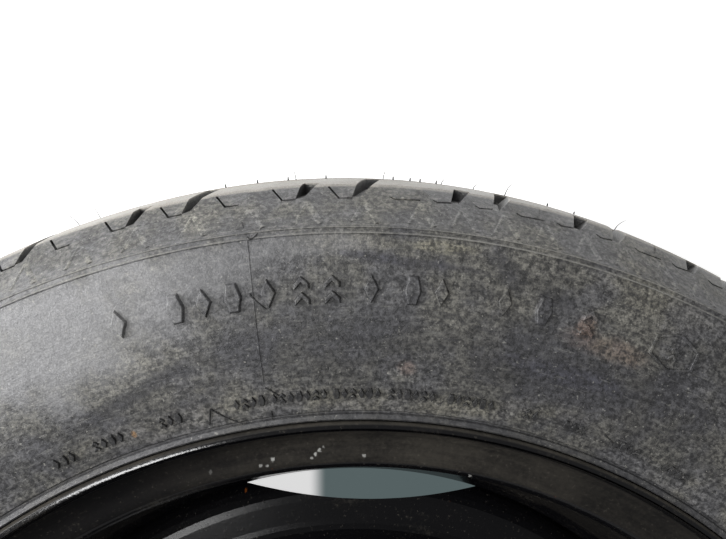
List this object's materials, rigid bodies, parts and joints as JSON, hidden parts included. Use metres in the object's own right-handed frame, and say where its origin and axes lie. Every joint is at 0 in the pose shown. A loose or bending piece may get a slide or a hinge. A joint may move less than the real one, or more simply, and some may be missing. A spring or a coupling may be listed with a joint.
{
  "type": "spare wheel",
  "caption": "Narrow temporary spare: radial tyre on a black welded steel wheel with lens-shaped vents, a bolt circle and a snap-in valve whose cap unscrews.",
  "frame": {"origin": "on the wheel's axis, half way between the rim's two flanges, which is the plane that the wheel's offset is measured from", "axes": "+Z along the wheel's axis, out of the street side; +Y towards the place at the top of the picture"},
  "size_m": [0.5808, 0.5808, 0.131],
  "materials": {
    "tyre_rubber": "dusty, scuffed moulded rubber",
    "rim_paint": "gloss black with brown road dust",
    "disc_paint": "gloss black with light dust",
    "valve_rubber": "matt black rubber",
    "brass": "dull turned brass",
    "spring_steel": "drawn wire",
    "seal": "red moulded seal",
    "cap_plastic": "matt black, lightly dusty"
  },
  "bodies": {
    "wheel": {"tyre": "tyre_rubber", "rim": "rim_paint", "wheel_disc": "disc_paint", "valve_rubber": "valve_rubber", "valve_tube": "brass", "core_plug": "brass", "core_barrel": "brass", "core_barrel_seal": "seal", "core_spring": "spring_steel"},
    "pin": {"core_pin": "brass", "core_cup": "brass", "core_gasket": "valve_rubber"},
    "washer": {"cap_seal": "seal"},
    "cap": {"valve_cap": "cap_plastic"}
  },
  "joints": [
    {"name": "pin_press", "type": "slide", "parent": "wheel", "child": "pin", "axis": [-0.0308, -0.8405, -0.5409], "range_m": [0, 0.0012], "stiffness_N_per_m": 400, "springref_m": -0.004, "deforming": ["core_spring"]},
    {"name": "cap_lift", "type": "slide", "parent": "wheel", "child": "washer", "axis": [0.0308, 0.8405, 0.5409], "range_m": [0, 0.00476]},
    {"name": "cap_turn", "type": "hinge", "parent": "washer", "child": "cap", "pos_m": [-0.00559, -0.15231, 0.03526], "axis": [0.0308, 0.8405, 0.5409], "range_deg": [0, 2160]}
  ],
  "couplings": [
    {"joint": "cap_turn", "follows": "cap_lift", "rad_per_m": 7913.3}
  ]
}
